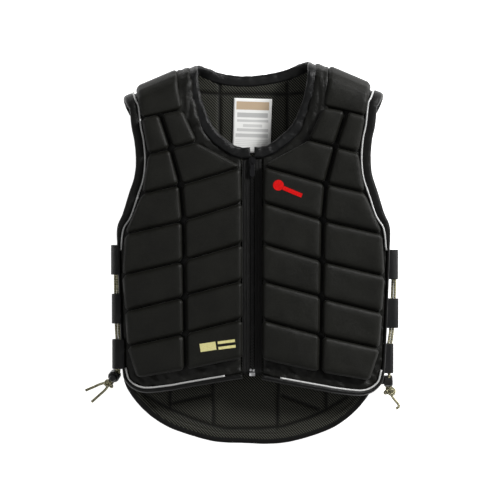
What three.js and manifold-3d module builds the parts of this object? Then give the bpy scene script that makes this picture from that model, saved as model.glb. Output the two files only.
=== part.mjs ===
import * as THREE from 'three';
import { mergeVertices } from 'three/addons/utils/BufferGeometryUtils.js';
import Module from 'manifold-3d';

const wasm = await Module();
wasm.setup();

// A padded riding vest that lies on its back: +X to the right, +Y to the neck, +Z up, in millimetres.

// Main sizes of the vest
const halfWidth = 209;
const halfLength = 296;
const wall = 6;
const padHeight = 15;
const shoulderHeight = 10;
const padChamfer = 4;
const padCorner = 2.4;
const seat = 0.45;
const seam = 0.4;

// The fold over the shoulders and the hollow for the trunk
const foldRadius = 20;
const foldTop = halfLength - 3.6;
const foldDrop = 50;
const neckHalf = 82;
const tipHalf = 200;
const collarHalf = 71;
const collarRadius = 60;
const sideDrop = 26;
const dropRun = 460;
const seamShare = 0.6;

// The right half was laid out a little wider than the left one
const laidSpread = 0.01;
const laidRun = 40;

// Edge tapes and piping
const neckBand = 13.5;
const bandCrown = 2.4;
const bandRound = 2.6;
const pipingRadius = 1.5;
const pipingStart = 2;
const panelColumns = 6;

// Zip
const zipTop = 0.4966 * halfLength;
const zipHalf = 2.8;
const zipHeight = 3.4;
const zipLift = 0.8;
const tapeThick = 1.6;
const tapeLift = 1.7;
const tapeEdge = 15;
const stopLength = 7;
const stopHalf = 5.2;
const sliderHalf = 5;
const sliderLength = 11;
const sliderPlate = 1.5;
const lugHalf = 1.3;
const lugHeight = 4.2;
const lugLength = 7;
const barThick = 1.5;
const barRoom = 0.55;
const pullHalf = 3.6;
const pullLength = 26;
const pullWaist = 0.75;
const pullWaistAt = 0.5;
const pullHipAt = 0.62;
const pullCorner = 2;
const eyeLength = 6;

// Side lacing
const sleeveLength = 46;
const webbing = 1.8;
const sleeveShift = 3.6;
const cordRadius = 2;
const strandHalf = 2.3;
const turnRadius = 5;
const cordSteps = 24;
const turnSteps = 6;
const tailSteps = 5;
const turnLap = 2.5;
const turnSwell = 0.15;
const lockRadius = 9;
const lockHeight = 14;
const slotCentre = 5.5;
const slotRoom = 0.5;
const buttonRadius = 5.4;
const buttonDepth = 1.2;
const lockRound = 1.6;
const buttonStand = 4.5;
const buttonTravel = 3.6;
const buttonRound = 1;
const knotRadius = 5.2;

// Label
const labelWidth = 59;
const labelLength = 84;
const labelThick = 0.7;
const labelY = 0.6622 * halfLength;
const labelTilt = -0.03;

const thickness = wall + padHeight;
const turn = Math.PI * foldRadius;

// Where the flat front ends and the bend over the shoulder begins
function bendLine(x) {
  const across = Math.max(0, Math.abs(x) - neckHalf) / (tipHalf - neckHalf);
  return foldTop - foldRadius - wall - bandCrown - foldDrop * across;
}

// Height of the front lining over the floor: it sinks toward the sides and the hem
function frontLining(x, y) {
  const run = THREE.MathUtils.clamp((bendLine(x) - y) / dropRun, 0, 1);
  const sunk = run * run * (3 - 2 * run);
  return thickness + 2 * foldRadius - sideDrop * sunk * (x / halfWidth) ** 2;
}

// The back curls up less toward the middle of the collar
function curlRadius(x) {
  const inward = Math.max(0, 1 - (x / collarHalf) ** 2);
  return foldRadius + (collarRadius - foldRadius) * inward;
}

// A point of the unrolled vest: v runs up the front, over the shoulder and down the back,
// and height is measured outward from the lining
function place(x, v, height) {
  const bend = bendLine(x);
  const past = v - bend;
  const left = turn - past;
  let y = v;
  let z = frontLining(x, v) + height;
  if (past > 0 && past <= turn / 2) {
    const angle = past / foldRadius;
    y = bend + (foldRadius + height) * Math.sin(angle);
    z = thickness + foldRadius + (foldRadius + height) * Math.cos(angle);
  } else if (past > turn / 2 && left > 0) {
    const radius = curlRadius(x);
    const angle = left / radius;
    y = bend + (radius + height) * Math.sin(angle);
    z = thickness + radius - (radius + height) * Math.cos(angle);
  } else if (left <= 0) {
    y = bend + left;
    z = thickness - height;
  }
  const laid = 1 + laidSpread * Math.tanh(x / laidRun);
  return new THREE.Vector3(x * laid, y * laid, z);
}

// One spot on the front or the back from shares of the half width and half length
const onFront = (x, y) => ({ x: x * halfWidth, v: y * halfLength });
const onBack = (x, y) => {
  const across = x * halfWidth;
  return { x: across, v: 2 * bendLine(across) + turn - y * halfLength };
};
// The same on the bend, where wrap runs from 0 at the front to 1 at the back
const onBend = (x, wrap) => {
  const across = x * halfWidth;
  return { x: across, v: bendLine(across) + wrap * turn };
};

// Rows of a front half from the hem up, as shares: inner x, inner y, outer x, outer y, band of tape
const frontRows = [
  [0.074, -0.635, 0.618, -0.704, 0.030],
  [0.074, -0.586, 0.809, -0.716, 0.028],
  [0.074, -0.518, 0.918, -0.676, 0.022],
  [0.074, -0.430, 0.952, -0.606, 0.016],
  [0.074, -0.248, 0.967, -0.404, 0.015],
  [0.074, -0.050, 0.978, -0.196, 0.015],
  [0.074, 0.158, 0.984, 0.012, 0.017],
  [0.074, 0.324, 0.965, 0.122, 0.038],
  [0.074, 0.499, 0.908, 0.191, 0.055],
  [0.154, 0.517, 0.857, 0.298, 0.059],
  [0.257, 0.569, 0.816, 0.387, 0.059],
  [0.346, 0.637, 0.803, 0.480, 0.059],
  [0.404, 0.725, 0.813, 0.579, 0.059],
  [0.441, 0.803, 0.835, 0.657, 0.059],
];

// Rows of the front half over the bend: inner x, outer x, wrap, band
const frontWraps = [
  [0.458, 0.850, 0.00, 0.059],
  [0.464, 0.868, 0.12, 0.059],
  [0.468, 0.882, 0.24, 0.059],
  [0.470, 0.892, 0.36, 0.059],
  [0.470, 0.898, 0.48, 0.059],
  [0.470, 0.900, seamShare, 0.059],
];

// Rows of a back half from the tail up: inner y, outer x, outer y, band
const backRows = [
  [-0.958, 0.191, -0.950, 0.059],
  [-0.898, 0.353, -0.924, 0.059],
  [-0.820, 0.526, -0.879, 0.059],
  [-0.742, 0.636, -0.830, 0.059],
  [-0.664, 0.721, -0.775, 0.056],
  [-0.570, 0.787, -0.716, 0.052],
  [-0.482, 0.860, -0.643, 0.040],
  [-0.352, 0.912, -0.518, 0.026],
  [-0.144, 0.919, -0.300, 0.022],
  [0.064, 0.919, -0.066, 0.022],
  [0.246, 0.897, 0.090, 0.040],
  [0.402, 0.838, 0.210, 0.056],
  [0.559, 0.797, 0.324, 0.059],
  [0.689, 0.785, 0.454, 0.059],
  [0.793, 0.795, 0.574, 0.059],
];

// Rows of the back half over the bend: inner x, inner wrap, outer x, outer wrap, band
const backWraps = [
  [0.000, 1.075, 0.815, 1.39, 0.059],
  [0.147, 1.030, 0.842, 1.15, 0.059],
  [0.279, 0.940, 0.870, 1.00, 0.059],
  [0.368, 0.820, 0.888, 0.86, 0.059],
  [0.430, 0.700, 0.896, 0.72, 0.059],
  [0.470, seamShare, 0.900, seamShare, 0.059],
];

// Grooves between the pads of a front half, from the shoulder down, as shares:
// inner x, inner y, middle x, middle y inside, middle y outside, outer x, outer y
const grooves = [
  [0.517, 0.744, 0.680, 0.724, 0.721, 0.813, 0.699],
  [0.413, 0.575, 0.599, 0.543, 0.538, 0.764, 0.511],
  [0.088, 0.441, 0.532, 0.353, 0.350, 0.811, 0.306],
  [0.078, 0.258, 0.510, 0.168, 0.161, 0.938, 0.094],
  [0.076, 0.046, 0.506, -0.040, -0.048, 0.957, -0.120],
  [0.076, -0.146, 0.502, -0.223, -0.236, 0.939, -0.309],
  [0.076, -0.346, 0.499, -0.422, -0.427, 0.923, -0.492],
  [0.076, -0.552, 0.493, -0.614, -0.617, 0.850, -0.660],
];
const grooveHalf = 1.7;
const middleHalf = 3;

// The shoulder pad over the bend: inner x, outer x, wrap
const shoulderWraps = [
  [0.545, 0.832, 0.00],
  [0.552, 0.842, 0.12],
  [0.556, 0.850, 0.24],
  [0.558, 0.856, 0.36],
  [0.560, 0.860, 0.48],
];

// Sleeves of webbing down each side: top edge as a share of the half length
const sleeveTops = [0.027, -0.227, -0.463];
const noseSteps = 6;
const sleeveSink = 6;
const sleeveEdge = 1;
const sleeveFoot = halfWidth - 22;

// Whether the sleeves lie over the front edge, then the outermost point and the root of each,
// as lengths past the half width
const sleeves = {
  left: { over: true, shapes: [[8.5, -6.5], [7.5, -7.5], [7, -13]] },
  right: { over: false, shapes: [[16.3, -22], [17, -22], [9.4, -22]] },
};

function tableRows(side) {
  const front = frontRows.map(([ix, iy, ox, oy, band]) => ({
    inner: onFront(side * ix, iy), outer: onFront(side * ox, oy), band,
  }));
  for (const [ix, ox, wrap, band] of frontWraps) {
    front.push({ inner: onBend(side * ix, wrap), outer: onBend(side * ox, wrap), band });
  }
  const back = backRows.map(([iy, ox, oy, band]) => ({
    inner: onBack(0, iy), outer: onBack(side * ox, oy), band,
  }));
  for (const [ix, innerWrap, ox, outerWrap, band] of backWraps) {
    back.push({ inner: onBend(side * ix, innerWrap), outer: onBend(side * ox, outerWrap), band });
  }
  return { front, back };
}

function blend(a, b, share) {
  return { x: a.x + (b.x - a.x) * share, v: a.v + (b.v - a.v) * share };
}

// A spot inside a set of rows; the row index and the share across are both fractional.
// Between two spots on the back the straight line is taken on the back, not on the unrolled cloth.
function rowSpot(rows, along, across, flat) {
  const low = Math.min(Math.floor(along), rows.length - 2);
  const spots = [rows[low], rows[low + 1]].map(({ inner, outer }) => {
    if (!flat) return blend(inner, outer, across);
    const x = inner.x + (outer.x - inner.x) * across;
    const wraps = [inner, outer].map((end) => end.v - 2 * bendLine(end.x));
    return { x, v: 2 * bendLine(x) + wraps[0] + (wraps[1] - wraps[0]) * across };
  });
  return blend(spots[0], spots[1], along - low);
}

// Turns a list of corner positions and triangles into an outward facing geometry
function closedBody(points, triangles) {
  const geometry = new THREE.BufferGeometry();
  let volume = 0;
  for (const [a, b, c] of triangles) {
    volume += points[a].dot(new THREE.Vector3().crossVectors(points[b], points[c]));
  }
  const ordered = volume > 0 ? triangles : triangles.map(([a, b, c]) => [a, c, b]);
  geometry.setAttribute('position', new THREE.Float32BufferAttribute(points.flatMap((p) => p.toArray()), 3));
  geometry.setIndex(ordered.flat());
  return geometry;
}

// Two triangles for a four-sided face, cut along its shorter diagonal
function splitQuad(points, a, b, c, d) {
  if (points[a].distanceTo(points[c]) < points[b].distanceTo(points[d])) return [[a, b, c], [a, c, d]];
  return [[a, b, d], [b, c, d]];
}

// A slab over a grid of spots, between two heights, with its upper rim lowered by the chamfer
function slab(spots, bottom, top, chamfer) {
  const rowCount = spots.length;
  const columnCount = spots[0].length;
  const points = [];
  const triangles = [];
  for (const layer of [0, 1]) {
    spots.forEach((row, i) => row.forEach((spot, j) => {
      const rim = i === 0 || j === 0 || i === rowCount - 1 || j === columnCount - 1;
      const height = layer === 0 ? bottom : top - (rim ? chamfer : 0);
      points.push(place(spot.x, spot.v, height));
    }));
  }
  const at = (layer, i, j) => (layer * rowCount + i) * columnCount + j;
  const quad = (a, b, c, d) => triangles.push(...splitQuad(points, a, b, c, d));
  for (let i = 0; i < rowCount - 1; i += 1) {
    for (let j = 0; j < columnCount - 1; j += 1) {
      quad(at(1, i, j), at(1, i, j + 1), at(1, i + 1, j + 1), at(1, i + 1, j));
      quad(at(0, i, j), at(0, i + 1, j), at(0, i + 1, j + 1), at(0, i, j + 1));
    }
  }
  for (let j = 0; j < columnCount - 1; j += 1) {
    const last = rowCount - 1;
    quad(at(0, 0, j), at(0, 0, j + 1), at(1, 0, j + 1), at(1, 0, j));
    quad(at(0, last, j), at(1, last, j), at(1, last, j + 1), at(0, last, j + 1));
  }
  for (let i = 0; i < rowCount - 1; i += 1) {
    const last = columnCount - 1;
    quad(at(0, i, 0), at(1, i, 0), at(1, i + 1, 0), at(0, i + 1, 0));
    quad(at(0, i, last), at(0, i + 1, last), at(1, i + 1, last), at(1, i, last));
  }
  return closedBody(points, triangles);
}

// The wall of a panel over its rows
function panelGeometry(rows, columns, flatRows) {
  const spots = rows.map((row, i) => {
    const shares = Array.from({ length: columns + 1 }, (_, j) => j / columns);
    return shares.map((share) => rowSpot(rows, i, share, i < flatRows));
  });
  return slab(spots, 0, wall, 0);
}

// A pad over rows of its own, with a chamfered rim and eased corners
function padGeometry(rows, steps, columns, bottom, top) {
  const lift = (spot) => place(spot.x, spot.v, top);
  const width = lift(rows[0].inner).distanceTo(lift(rows[0].outer));
  const firstGap = lift(rows[0].inner).distanceTo(lift(rows[1].inner));
  const lastGap = lift(rows.at(-1).inner).distanceTo(lift(rows.at(-2).inner));
  const rim = padChamfer / width;
  const last = rows.length - 1;
  const between = Array.from({ length: columns - 1 }, (_, i) => (i + 1) / columns);
  const across = [0, rim, ...between, 1 - rim, 1];
  const along = [0, padChamfer / firstGap];
  for (let i = 1; i < steps; i += 1) along.push((last * i) / steps);
  along.push(last - padChamfer / lastGap, last);
  const spots = along.map((a, i) => across.map((share, j) => {
    const endRow = i === 0 || i === along.length - 1;
    const endColumn = j === 0 || j === across.length - 1;
    const ease = endRow && endColumn ? 1 : 0;
    const shareIn = share + ease * (share < 0.5 ? 1 : -1) * (padCorner / width);
    const alongIn = a + ease * (i === 0 ? padCorner / firstGap : -padCorner / lastGap);
    return rowSpot(rows, alongIn, shareIn, false);
  }));
  return slab(spots, bottom, top, padChamfer);
}

// The direction square to the lining at a spot
function surfaceNormal({ x, v }) {
  const alongX = place(x + 1, v, 0).sub(place(x - 1, v, 0));
  const alongV = place(x, v + 1, 0).sub(place(x, v - 1, 0));
  return alongX.cross(alongV).normalize();
}

// A strip with a fixed section along spots on the lining: each section corner is [sideways, height],
// and the band scales what lies sideways
function stripGeometry(path, section, sideways) {
  const foot = path.map((step) => place(step.x, step.v, 0));
  const points = [];
  path.forEach((step, i) => {
    const normal = place(step.x, step.v, 1).sub(foot[i]).normalize();
    const before = foot[Math.max(i - 1, 0)];
    const after = foot[Math.min(i + 1, path.length - 1)];
    const tangent = after.clone().sub(before).normalize();
    const across = tangent.cross(normal).normalize().multiplyScalar(sideways);
    const facing = surfaceNormal(step);
    across.addScaledVector(normal, -across.dot(facing) / normal.dot(facing));
    for (const [side, height] of section(step.band)) {
      points.push(foot[i].clone().addScaledVector(across, side).addScaledVector(normal, height));
    }
  });
  const count = section(path[0].band).length;
  const triangles = [];
  for (let i = 0; i < path.length - 1; i += 1) {
    for (let j = 0; j < count; j += 1) {
      const a = i * count + j;
      const b = i * count + ((j + 1) % count);
      triangles.push(...splitQuad(points, a, b, b + count, a + count));
    }
  }
  const end = (path.length - 1) * count;
  for (let j = 1; j < count - 1; j += 1) {
    triangles.push([0, j + 1, j], [end, end + j, end + j + 1]);
  }
  return closedBody(points, triangles);
}

// Section of the tape that is folded over an edge of the vest
function tapeSection(band) {
  const round = Math.min(bandRound, band / 3);
  const crown = wall + bandCrown;
  return [
    [seam, 0], [band - round, 0], [band, round], [band, crown - round],
    [band - round, crown], [seam + round, crown], [seam, crown - round],
  ];
}

function pipingSection() {
  const centre = wall + seat + pipingRadius;
  return Array.from({ length: 6 }, (_, i) => {
    const angle = (i * Math.PI) / 3;
    return [-pipingRadius * 1.4 + pipingRadius * Math.cos(angle), centre + pipingRadius * Math.sin(angle)];
  });
}

// Boolean helpers
function solid(geometry) {
  const plain = geometry.clone();
  plain.deleteAttribute('normal');
  plain.deleteAttribute('uv');
  const merged = mergeVertices(plain, 1e-4);
  return new wasm.Manifold(new wasm.Mesh({
    numProp: 3,
    vertProperties: new Float32Array(merged.attributes.position.array),
    triVerts: new Uint32Array(merged.index.array),
  }));
}

function fromSolid(body) {
  const mesh = body.getMesh();
  const geometry = new THREE.BufferGeometry();
  geometry.setAttribute('position', new THREE.BufferAttribute(mesh.vertProperties, 3));
  geometry.setIndex(new THREE.BufferAttribute(mesh.triVerts, 1));
  return geometry;
}

function box(x0, x1, y0, y1, z0, z1) {
  const geometry = new THREE.BoxGeometry(x1 - x0, y1 - y0, z1 - z0);
  return geometry.translate((x0 + x1) / 2, (y0 + y1) / 2, (z0 + z1) / 2);
}

const vest = new THREE.Group();

function add(name, geometry, finish) {
  const mesh = new THREE.Mesh(geometry, new THREE.MeshStandardMaterial(finish));
  mesh.name = name;
  vest.add(mesh);
  return mesh;
}

const shell = { color: 0x20201c, roughness: 0.8, metalness: 0 };
const tape = { color: 0x151513, roughness: 0.7, metalness: 0 };
const silver = { color: 0xb9bcbc, roughness: 0.4, metalness: 0.2 };
const strap = { color: 0x121211, roughness: 0.85, metalness: 0 };
const cordLook = { color: 0x2a2820, roughness: 0.8, metalness: 0 };
const plastic = { color: 0x101010, roughness: 0.45, metalness: 0 };
const metal = { color: 0x2b2b2c, roughness: 0.35, metalness: 0.8 };

const halves = [['left', -1], ['right', 1]];

// Walls of the two front halves, their tapes and their piping
function frontHalf(name, side) {
  const rows = tableRows(side).front;
  add(`front_${name}_panel`, panelGeometry(rows, panelColumns, 0), shell);
  const [{ inner, outer, band }] = rows;
  const hem = Array.from({ length: panelColumns }, (_, i) => ({
    ...blend(inner, outer, i / panelColumns), band: band * halfWidth,
  }));
  const edge = rows.map((row) => ({ ...row.outer, band: row.band * halfWidth }));
  add(`edge_binding_${name}`, stripGeometry([...hem, ...edge], tapeSection, side), tape);
  add(`piping_${name}`, stripGeometry([...hem.slice(pipingStart), ...edge], pipingSection, side), silver);
}

// Pads of a front half: two columns between the grooves, row by row
function frontPads(name, side) {
  const low = wall + seat;
  const high = thickness;
  for (let i = 0; i < grooves.length - 1; i += 1) {
    const upper = grooves[i];
    const lower = grooves[i + 1];
    const spot = (x, y, dx, dy) => ({ x: side * (x * halfWidth + dx), v: y * halfLength + dy });
    const inside = [
      { inner: spot(lower[0], lower[1], 0, grooveHalf), outer: spot(lower[2], lower[3], -middleHalf, grooveHalf) },
      { inner: spot(upper[0], upper[1], 0, -grooveHalf), outer: spot(upper[2], upper[3], -middleHalf, -grooveHalf) },
    ];
    const outside = [
      { inner: spot(lower[2], lower[4], middleHalf, grooveHalf), outer: spot(lower[5], lower[6], 0, grooveHalf) },
      { inner: spot(upper[2], upper[4], middleHalf, -grooveHalf), outer: spot(upper[5], upper[6], 0, -grooveHalf) },
    ];
    add(`pad_${name}_inner_${i + 1}`, padGeometry(inside, 2, 2, low, high), shell);
    add(`pad_${name}_outer_${i + 1}`, padGeometry(outside, 2, 2, low, high), shell);
  }
  const [ix, iy, , , , ox, oy] = grooves[0];
  const shoulder = [{
    inner: { x: side * ix * halfWidth, v: iy * halfLength + grooveHalf },
    outer: { x: side * ox * halfWidth, v: oy * halfLength + grooveHalf },
  }];
  for (const [innerX, outerX, wrap] of shoulderWraps) {
    shoulder.push({ inner: onBend(side * innerX, wrap), outer: onBend(side * outerX, wrap) });
  }
  add(`shoulder_pad_${name}`, padGeometry(shoulder, shoulder.length - 1, 4, low, wall + shoulderHeight), shell);
}

// The back: one wall with its pads sewn in underneath, on which the vest lies
const backPadRows = [[0.5, 4], [4, 7], [7, 8.6], [8.6, 10.6], [10.6, 12.4], [12.4, 14.4]];
const backPadColumns = [[0.03, 0.47], [0.52, 0.95]];
const padSink = 1;

function backPanel() {
  let body = null;
  for (const [, side] of halves) {
    const rows = tableRows(side).back;
    const half = solid(panelGeometry(rows, panelColumns, backRows.length));
    body = body ? body.add(half) : half;
    for (const [from, to] of backPadRows) {
      for (const [start, stop] of backPadColumns) {
        const ends = [to, from].map((along) => ({
          inner: rowSpot(rows, along, start, true),
          outer: rowSpot(rows, along, stop, true),
        }));
        const shrink = grooveHalf;
        ends[0].inner.v += shrink;
        ends[0].outer.v += shrink;
        ends[1].inner.v -= shrink;
        ends[1].outer.v -= shrink;
        body = body.add(solid(padGeometry(ends, 1, 1, wall - padSink, thickness)));
      }
    }
  }
  return fromSolid(body);
}

function backBinding() {
  const [left, right] = [-1, 1].map((side) => {
    const edge = tableRows(side).back.map(({ outer, band }) => ({ ...outer, band: band * halfWidth }));
    return edge;
  });
  const tailMiddle = { ...onBack(0, backRows[0][0]), band: backRows[0][3] * halfWidth };
  return stripGeometry([...left.reverse(), tailMiddle, ...right], tapeSection, -1);
}

// The tape round the neck: from the zip over both shoulders and along the collar
function neckBinding() {
  const start = onFront(0.012, frontRows[8][1]);
  const corner = onFront(frontRows[8][0], frontRows[8][1]);
  const sides = halves.map(([, side]) => {
    const { front, back } = tableRows(side);
    const path = [{ x: side * start.x, v: start.v }, { x: side * corner.x, v: corner.v }];
    front.slice(9).forEach(({ inner }) => path.push(inner));
    back.slice(backRows.length, -1).reverse().forEach(({ inner }) => path.push(inner));
    return path;
  });
  const whole = [...sides[0], ...sides[1].slice(0, -1).reverse()];
  return stripGeometry(whole.map((spot) => ({ ...spot, band: neckBand })), tapeSection, 1);
}

// Zip along the middle
const liningTop = thickness + 2 * foldRadius;
const zipBottom = frontRows[0][1] * halfLength;

function zipParts() {
  const low = liningTop + zipLift;
  const chain = solid(box(-zipHalf, zipHalf, zipBottom, zipTop - sliderLength / 2, low, low + zipHeight));
  const stopTop = zipBottom + stopLength;
  const stop = solid(box(-stopHalf, stopHalf, zipBottom, stopTop, low + zipHeight, low + zipHeight + sliderPlate));
  const stopPost = solid(box(-zipHalf, zipHalf, zipBottom, stopTop, low, low + zipHeight + sliderPlate / 2));
  add('zip_chain', fromSolid(chain.add(stopPost).add(stop)), metal);
  for (const [name, side] of halves) {
    const near = zipHalf + seam;
    const x = [side * near, side * tapeEdge].sort((a, b) => a - b);
    const tapeLow = liningTop + tapeLift;
    const strip = box(x[0], x[1], zipBottom, zipTop - seam, tapeLow, tapeLow + tapeThick);
    add(`zip_tape_${name}`, strip, tape);
  }
  const plateTop = low + zipHeight + seam + sliderPlate;
  const sliderTop = zipTop - seam;
  const sliderLow = sliderTop - sliderLength;
  const upper = solid(box(-sliderHalf, sliderHalf, sliderLow, sliderTop, plateTop - sliderPlate, plateTop));
  const lowerTop = low - seam;
  const lower = solid(box(-sliderHalf, sliderHalf, sliderLow, sliderTop, lowerTop - sliderPlate, lowerTop));
  const wedgeLow = zipTop - sliderLength / 2 + seam;
  const wedge = solid(box(-zipHalf, zipHalf, wedgeLow, sliderTop, lowerTop - sliderPlate / 2, plateTop));
  const lugY = (sliderLow + sliderTop) / 2;
  const lugTop = plateTop + lugHeight;
  const [lugLow, lugHigh] = [lugY - lugLength / 2, lugY + lugLength / 2];
  const lug = solid(box(-lugHalf, lugHalf, lugLow, lugHigh, plateTop - sliderPlate / 2, lugTop));
  const barZ = plateTop + seam + barRoom + barThick / 2;
  const room = barThick / Math.SQRT2 + barRoom;
  const eye = solid(box(-sliderHalf, sliderHalf, lugY - room, lugY + room, plateTop, barZ + room));
  add('zip_slider', fromSolid(upper.add(lower).add(wedge).add(lug).subtract(eye)), metal);
  return { lugY, barZ };
}

// The pull hangs with a window over the bar of the slider's lug and lies down the zip
function zipPull({ lugY, barZ }) {
  const top = barThick / 2;
  const low = top - pullLength;
  const edge = [
    [pullHalf, top], [pullHalf * pullWaist, top - pullLength * pullWaistAt],
    [pullHalf, top - pullLength * pullHipAt], [pullHalf, low + pullCorner], [pullHalf - pullCorner, low],
  ];
  const corners = [...edge, ...edge.map(([x, y]) => [-x, y]).reverse()];
  const outline = new THREE.Shape(corners.map(([x, y]) => new THREE.Vector2(x, y)));
  const half = lugHalf + barRoom;
  const window = [[-half, -top], [-half, -top - eyeLength], [half, -top - eyeLength], [half, -top]];
  outline.holes.push(new THREE.Path(window.map(([x, y]) => new THREE.Vector2(x, y))));
  const plate = new THREE.ExtrudeGeometry(outline, { depth: barThick, bevelEnabled: false });
  const pull = add('zip_pull', plate.translate(0, 0, -barThick / 2), metal);
  pull.position.set(0, lugY, barZ);
}

// A sleeve of webbing from the front edge, round the cord and back onto the back panel
function sleeve(name, side, index) {
  const drop = -side * sleeveShift;
  const lowLeg = thickness + seat;
  const { over, shapes } = sleeves[name];
  const [reach, root] = shapes[index].map((offset) => halfWidth + offset);
  const points = [];
  const stations = 2;
  let count = 0;
  for (let i = 0; i < stations; i += 1) {
    const y = sleeveTops[index] * halfLength + drop - (sleeveLength * i) / (stations - 1);
    const liningY = y / (1 - laidSpread);
    const rise = over ? wall + 2 * pipingRadius + 2 * seat + webbing : -2 * seat;
    const highLeg = (x) => frontLining(x, liningY) + rise;
    const tall = (highLeg(over ? halfWidth : reach) - lowLeg) / 2;
    const noseX = over ? halfWidth - sleeveEdge : reach - tall;
    const noseZ = lowLeg + tall;
    const arc = (inset) => Array.from({ length: noseSteps + 1 }, (_, j) => {
      const angle = Math.PI / 2 - (j * Math.PI) / noseSteps;
      return [noseX + (reach - noseX - inset) * Math.cos(angle), noseZ + (tall - inset) * Math.sin(angle)];
    });
    const rootTop = highLeg(over ? root : root + sleeveSink);
    const profile = [
      [root, rootTop - webbing], [root, rootTop], ...arc(0),
      [sleeveFoot, lowLeg], [sleeveFoot, lowLeg + webbing], ...arc(webbing).reverse(),
    ];
    count = profile.length;
    profile.forEach(([x, z]) => points.push(new THREE.Vector3(side * x, y, z)));
  }
  const triangles = [];
  for (let i = 0; i < stations - 1; i += 1) {
    for (let j = 0; j < count; j += 1) {
      const a = i * count + j;
      const b = i * count + ((j + 1) % count);
      triangles.push([a, b, b + count], [a, b + count, a + count]);
    }
  }
  const flat = points.slice(0, count).map((p) => new THREE.Vector2(p.x, p.z));
  const caps = THREE.ShapeUtils.triangulateShape(flat, []);
  const end = (stations - 1) * count;
  const around = Math.sign(THREE.ShapeUtils.area(flat));
  for (const corners of caps) {
    const sameWay = Math.sign(THREE.ShapeUtils.area(corners.map((k) => flat[k]))) === around;
    const [a, b, c] = sameWay ? corners : [...corners].reverse();
    triangles.push([a, c, b], [a + end, b + end, c + end]);
  }
  add(`side_sleeve_${name}_${index + 1}`, closedBody(points, triangles), strap);
}

// A round cord along a smooth curve through its points
function cordTube(points, steps, radius) {
  const section = new THREE.Shape();
  for (let i = 0; i < 8; i += 1) {
    const angle = (i * Math.PI) / 4;
    const corner = [radius * Math.cos(angle), radius * Math.sin(angle)];
    if (i === 0) section.moveTo(...corner);
    else section.lineTo(...corner);
  }
  section.closePath();
  const path = new THREE.CatmullRomCurve3(points.map((p) => new THREE.Vector3(...p)), false, 'centripetal');
  return new THREE.ExtrudeGeometry(section, { steps, extrudePath: path, bevelEnabled: false });
}

// Middle line of the doubled lacing cord: x past the half width, y as a share of the half length,
// z, strands apart in x and in z
const lacingRoutes = {
  left: [
    [1, -0.027, 34.6, 0, turnRadius],
    [0.6, -0.135, 33.5, 1.9, 1.8],
    [-0.8, -0.389, 30.4, 2.1, 0],
    [-2.7, -0.5, 29, 2.2, 0],
    [-1.2, -0.581, 28, strandHalf, 0],
  ],
  right: [
    [8, -0.027, 34.6, 0, turnRadius],
    [9.4, -0.135, 33.5, 1.9, 1.8],
    [6, -0.389, 30.4, 2.1, 0],
    [1.6, -0.5, 29, 2.2, 0],
    [1.8, -0.581, 28, strandHalf, 0],
  ],
};

// Each cord lock: where it sits, the way the cord runs through it and the way its button points
const locks = {
  left: {
    centre: [-halfWidth - 3.5, -0.6419 * halfLength, 23], along: [-0.5, -0.75, -0.43], facing: [0, 0, 1],
  },
  right: {
    centre: [halfWidth + 2.8, -0.6706 * halfLength, 23], along: [0.05, -0.9, -0.43], facing: [-1, 0, 0],
  },
};

// Free ends of the lacing cords, from the knot to the tip, measured from the lock
const tails = {
  cord_tail_left_a: {
    lock: 'left', points: [[-12.3, -11.2, -8.2], [-23.5, -14.5, -15.5], [-33.5, -19, -20.1], [-46.5, -24.5, -20.6]],
  },
  cord_tail_left_b: {
    lock: 'left', points: [[-9.7, -15, -8.9], [-16, -23.5, -16.5], [-26.5, -33, -20.2], [-37, -42.5, -20.6]],
  },
  cord_tail_right: {
    lock: 'right',
    points: [[2.3, -17.1, -9.6], [6.2, -26.5, -17.6], [14.2, -36, -20.4], [16.2, -41, -20.6], [11.7, -44.5, -20.6]],
  },
};

// The frame of a lock: its button axis, the cord's way and the direction across the two strands
function lockFrame({ centre, along, facing }) {
  const way = new THREE.Vector3(...along).normalize();
  const axis = new THREE.Vector3(...facing);
  axis.addScaledVector(way, -axis.dot(way)).normalize();
  const across = new THREE.Vector3().crossVectors(way, axis);
  return { middle: new THREE.Vector3(...centre), way, axis, across };
}

// Two strands from the knot through the lock and the sleeves, joined by the turn in the top sleeve
function lacingCord(name, side) {
  const { middle, way, across } = lockFrame(locks[name]);
  const knot = middle.clone().addScaledVector(way, lockRadius + knotRadius + seam);
  const shift = -side * sleeveShift;
  let body = solid(new THREE.IcosahedronGeometry(knotRadius, 1).translate(...knot.toArray()));
  for (const strand of [-1, 1]) {
    const route = lacingRoutes[name].map(([x, y, z, apartX, apartZ]) => (
      [side * (halfWidth + x) + strand * apartX, y * halfLength + shift, z + strand * apartZ]));
    const handed = name === 'left' ? 1 : -1;
    const outward = across.x * handed > 0 ? handed : -handed;
    const lateral = across.clone().multiplyScalar(strand * strandHalf * outward);
    for (const reach of [-lockRadius - 1, -lockRadius / 3, lockRadius / 3, lockRadius + 1]) {
      route.push(middle.clone().addScaledVector(way, reach).add(lateral).toArray());
    }
    route.push(knot.toArray());
    body = body.add(solid(cordTube(route, cordSteps, cordRadius)));
  }
  const [pastEdge, topShare, topZ] = lacingRoutes[name][0];
  const topY = topShare * halfLength + shift;
  const bend = Array.from({ length: turnSteps + 1 }, (_, i) => {
    const angle = -Math.PI / 2 + (i * Math.PI) / turnSteps;
    const [forward, up] = [Math.cos(angle), Math.sin(angle)].map((share) => share * turnRadius);
    return [side * (halfWidth + pastEdge), topY + forward, topZ + up];
  });
  const [below, above] = [bend[0], bend.at(-1)].map(([x, y, z]) => [x, y - turnLap, z]);
  body = body.add(solid(cordTube([below, ...bend, above], 8, cordRadius + turnSwell)));
  add(`lacing_cord_${name}`, fromSolid(body), cordLook);
}

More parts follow.
